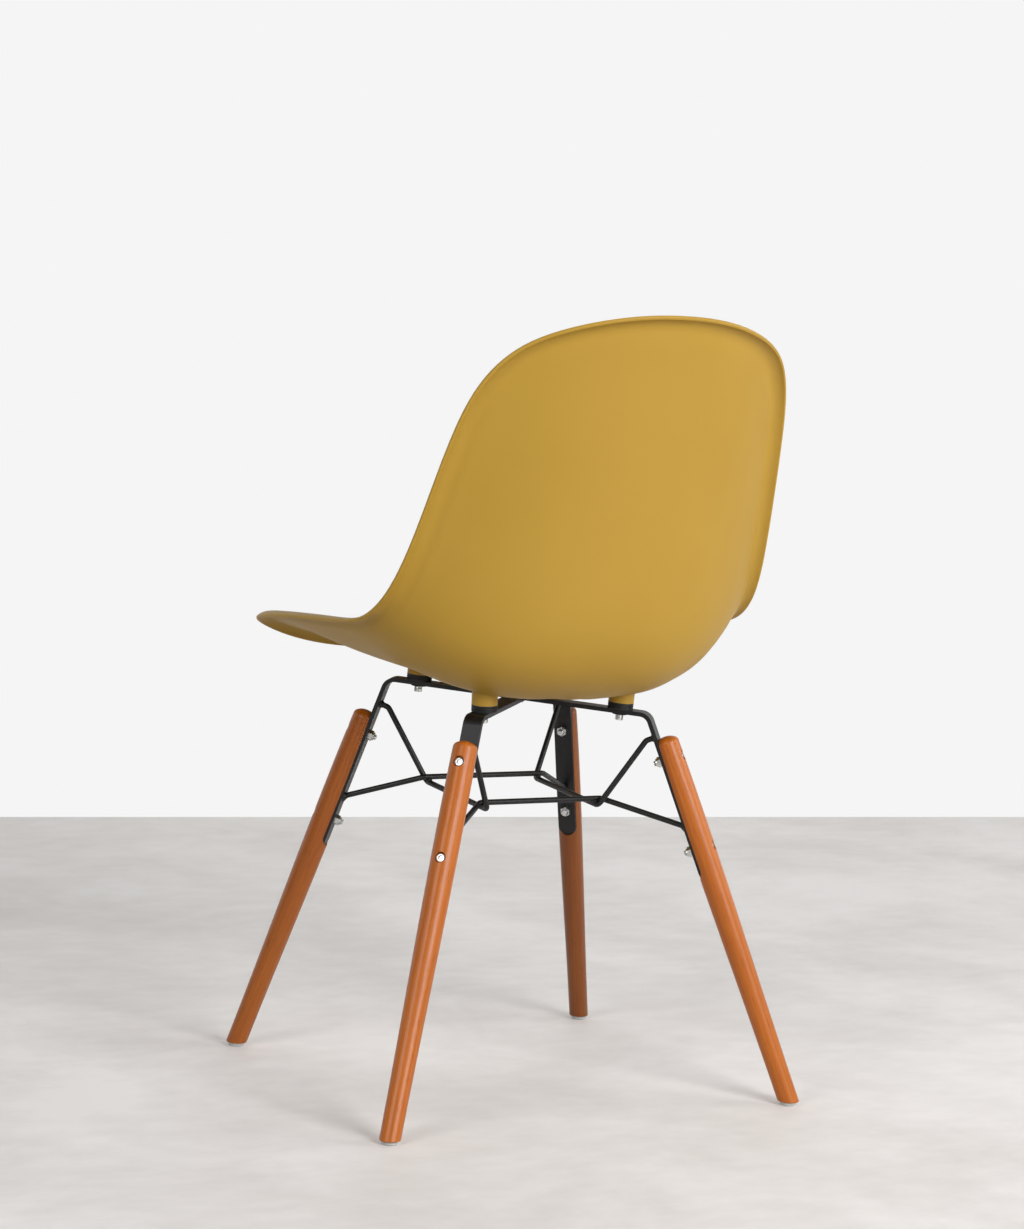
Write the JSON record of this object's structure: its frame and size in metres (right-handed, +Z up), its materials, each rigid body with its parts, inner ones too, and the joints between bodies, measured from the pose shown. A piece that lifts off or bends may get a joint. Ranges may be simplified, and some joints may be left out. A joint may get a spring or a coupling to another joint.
{
  "type": "moulded plastic shell chair",
  "caption": "Moulded plastic shell chair with a bucket seat and back on rubber isolators, crossed steel straps braced by bent wires, and splayed round wooden legs.",
  "frame": {"origin": "on the floor, under the middle of the chair's overall width and depth", "axes": "+Z up, +Y towards the back of the chair so that the sitter faces -Y, +X towards the sitter's left"},
  "size_m": [0.4966, 0.5366, 0.8209],
  "materials": {
    "shell_plastic": "satin",
    "frame_paint": "satin powder coat",
    "leg_wood": "clear varnish",
    "isolator_rubber": "matte",
    "fastener_steel": "zinc plated",
    "black_steel": "black oxide",
    "insert_brass": "machined",
    "ring_nylon": "satin",
    "glide_plastic": "satin"
  },
  "bodies": {
    "root": {"seat_shell": "shell_plastic", "shell_inserts": "insert_brass", "mount_screws": "fastener_steel", "spring_washers": "fastener_steel", "strap_washers": "black_steel", "strap_long": "frame_paint", "strap_rear_left": "frame_paint", "strap_front_right": "frame_paint", "end_wire_front": "frame_paint", "end_wire_rear": "frame_paint", "side_wire_left": "frame_paint", "side_wire_right": "frame_paint", "weld_beads": "frame_paint", "glide_nails": "fastener_steel", "leg_bolts": "fastener_steel", "leg_nuts": "fastener_steel", "nut_locking_rings": "ring_nylon", "isolator_front_left": "isolator_rubber", "leg_front_left": "leg_wood", "glide_front_left": "glide_plastic", "isolator_front_right": "isolator_rubber", "leg_front_right": "leg_wood", "glide_front_right": "glide_plastic", "isolator_rear_left": "isolator_rubber", "leg_rear_left": "leg_wood", "glide_rear_left": "glide_plastic", "isolator_rear_right": "isolator_rubber", "leg_rear_right": "leg_wood", "glide_rear_right": "glide_plastic"}
  },
  "joints": []
}
